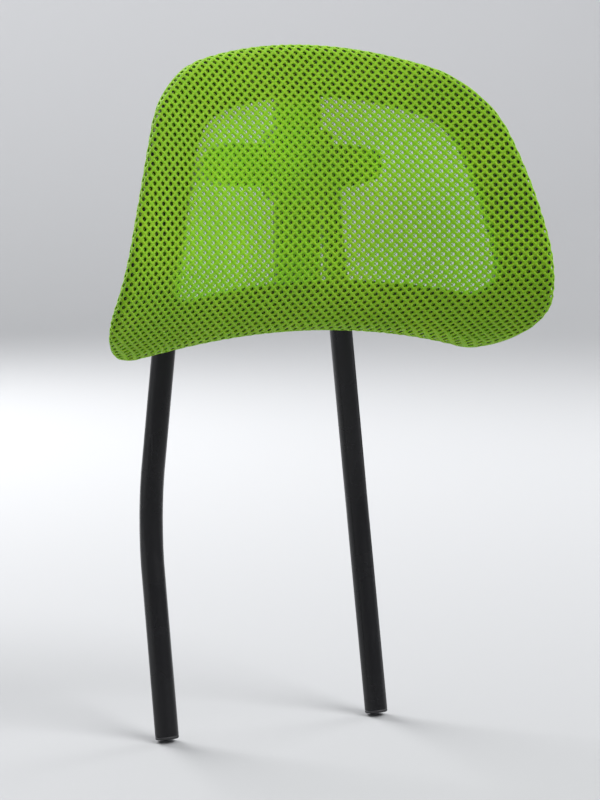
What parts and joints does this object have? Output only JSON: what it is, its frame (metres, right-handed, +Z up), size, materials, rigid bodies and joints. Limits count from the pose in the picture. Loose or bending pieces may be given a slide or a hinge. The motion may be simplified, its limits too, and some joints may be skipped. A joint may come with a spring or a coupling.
{
  "type": "chair headrest attachment",
  "caption": "Mesh headrest on bent rods that plug into a chair back's tubes, with a friction tilt pivot and a height slide.",
  "frame": {"origin": "midway between the lower ends of the two rods, on their axes", "axes": "+Z up, +Y backwards away from the sitter's head, +X to the viewer's right when looking at the headrest from the front (the sitter's left)"},
  "size_m": [0.3094, 0.159, 0.4635],
  "materials": {
    "green_mesh": "knitted lime green spacer mesh",
    "rod_powder_coat": "satin black powder coat",
    "black_plastic": "fine-grained moulded nylon",
    "liner_plastic": "natural acetal",
    "strip_plastic": "extruded strip",
    "anodised_rail": "black anodised",
    "zinc_steel": "zinc plated",
    "black_screws": "black oxide",
    "spring_steel": "hardened strip",
    "black_rubber": "soft moulded"
  },
  "bodies": {
    "rod_mount": {"left_rod": "rod_powder_coat", "right_rod": "rod_powder_coat", "left_rod_end_plug": "black_plastic", "right_rod_end_plug": "black_plastic", "rod_inserts": "zinc_steel", "crossbar": "black_plastic", "rod_screws": "black_screws", "left_pocket_cover": "black_plastic", "right_pocket_cover": "black_plastic", "pivot_bolt": "zinc_steel", "pivot_nut": "zinc_steel", "pivot_washer": "zinc_steel", "disc_springs": "spring_steel", "friction_washers": "liner_plastic"},
    "carrier": {"slide_block": "black_plastic", "pivot_bushes": "liner_plastic", "upper_liner": "liner_plastic", "lower_liner": "liner_plastic", "brake_pad": "black_rubber", "brake_spring": "spring_steel"},
    "headrest": {"headrest_frame": "black_plastic", "guide_rail": "anodised_rail", "rail_screws": "zinc_steel", "stop_bumpers": "black_rubber", "mesh_cover": "green_mesh", "edge_strip": "strip_plastic"}
  },
  "joints": [
    {"name": "headrest_tilt", "type": "hinge", "parent": "rod_mount", "child": "carrier", "pos_m": [0, -0.01581, 0.385], "axis": [1, 0, 0], "range_deg": [-20, 20]},
    {"name": "headrest_height", "type": "slide", "parent": "carrier", "child": "headrest", "axis": [0, 0, 1], "range_m": [-0.02, 0.05]}
  ]
}
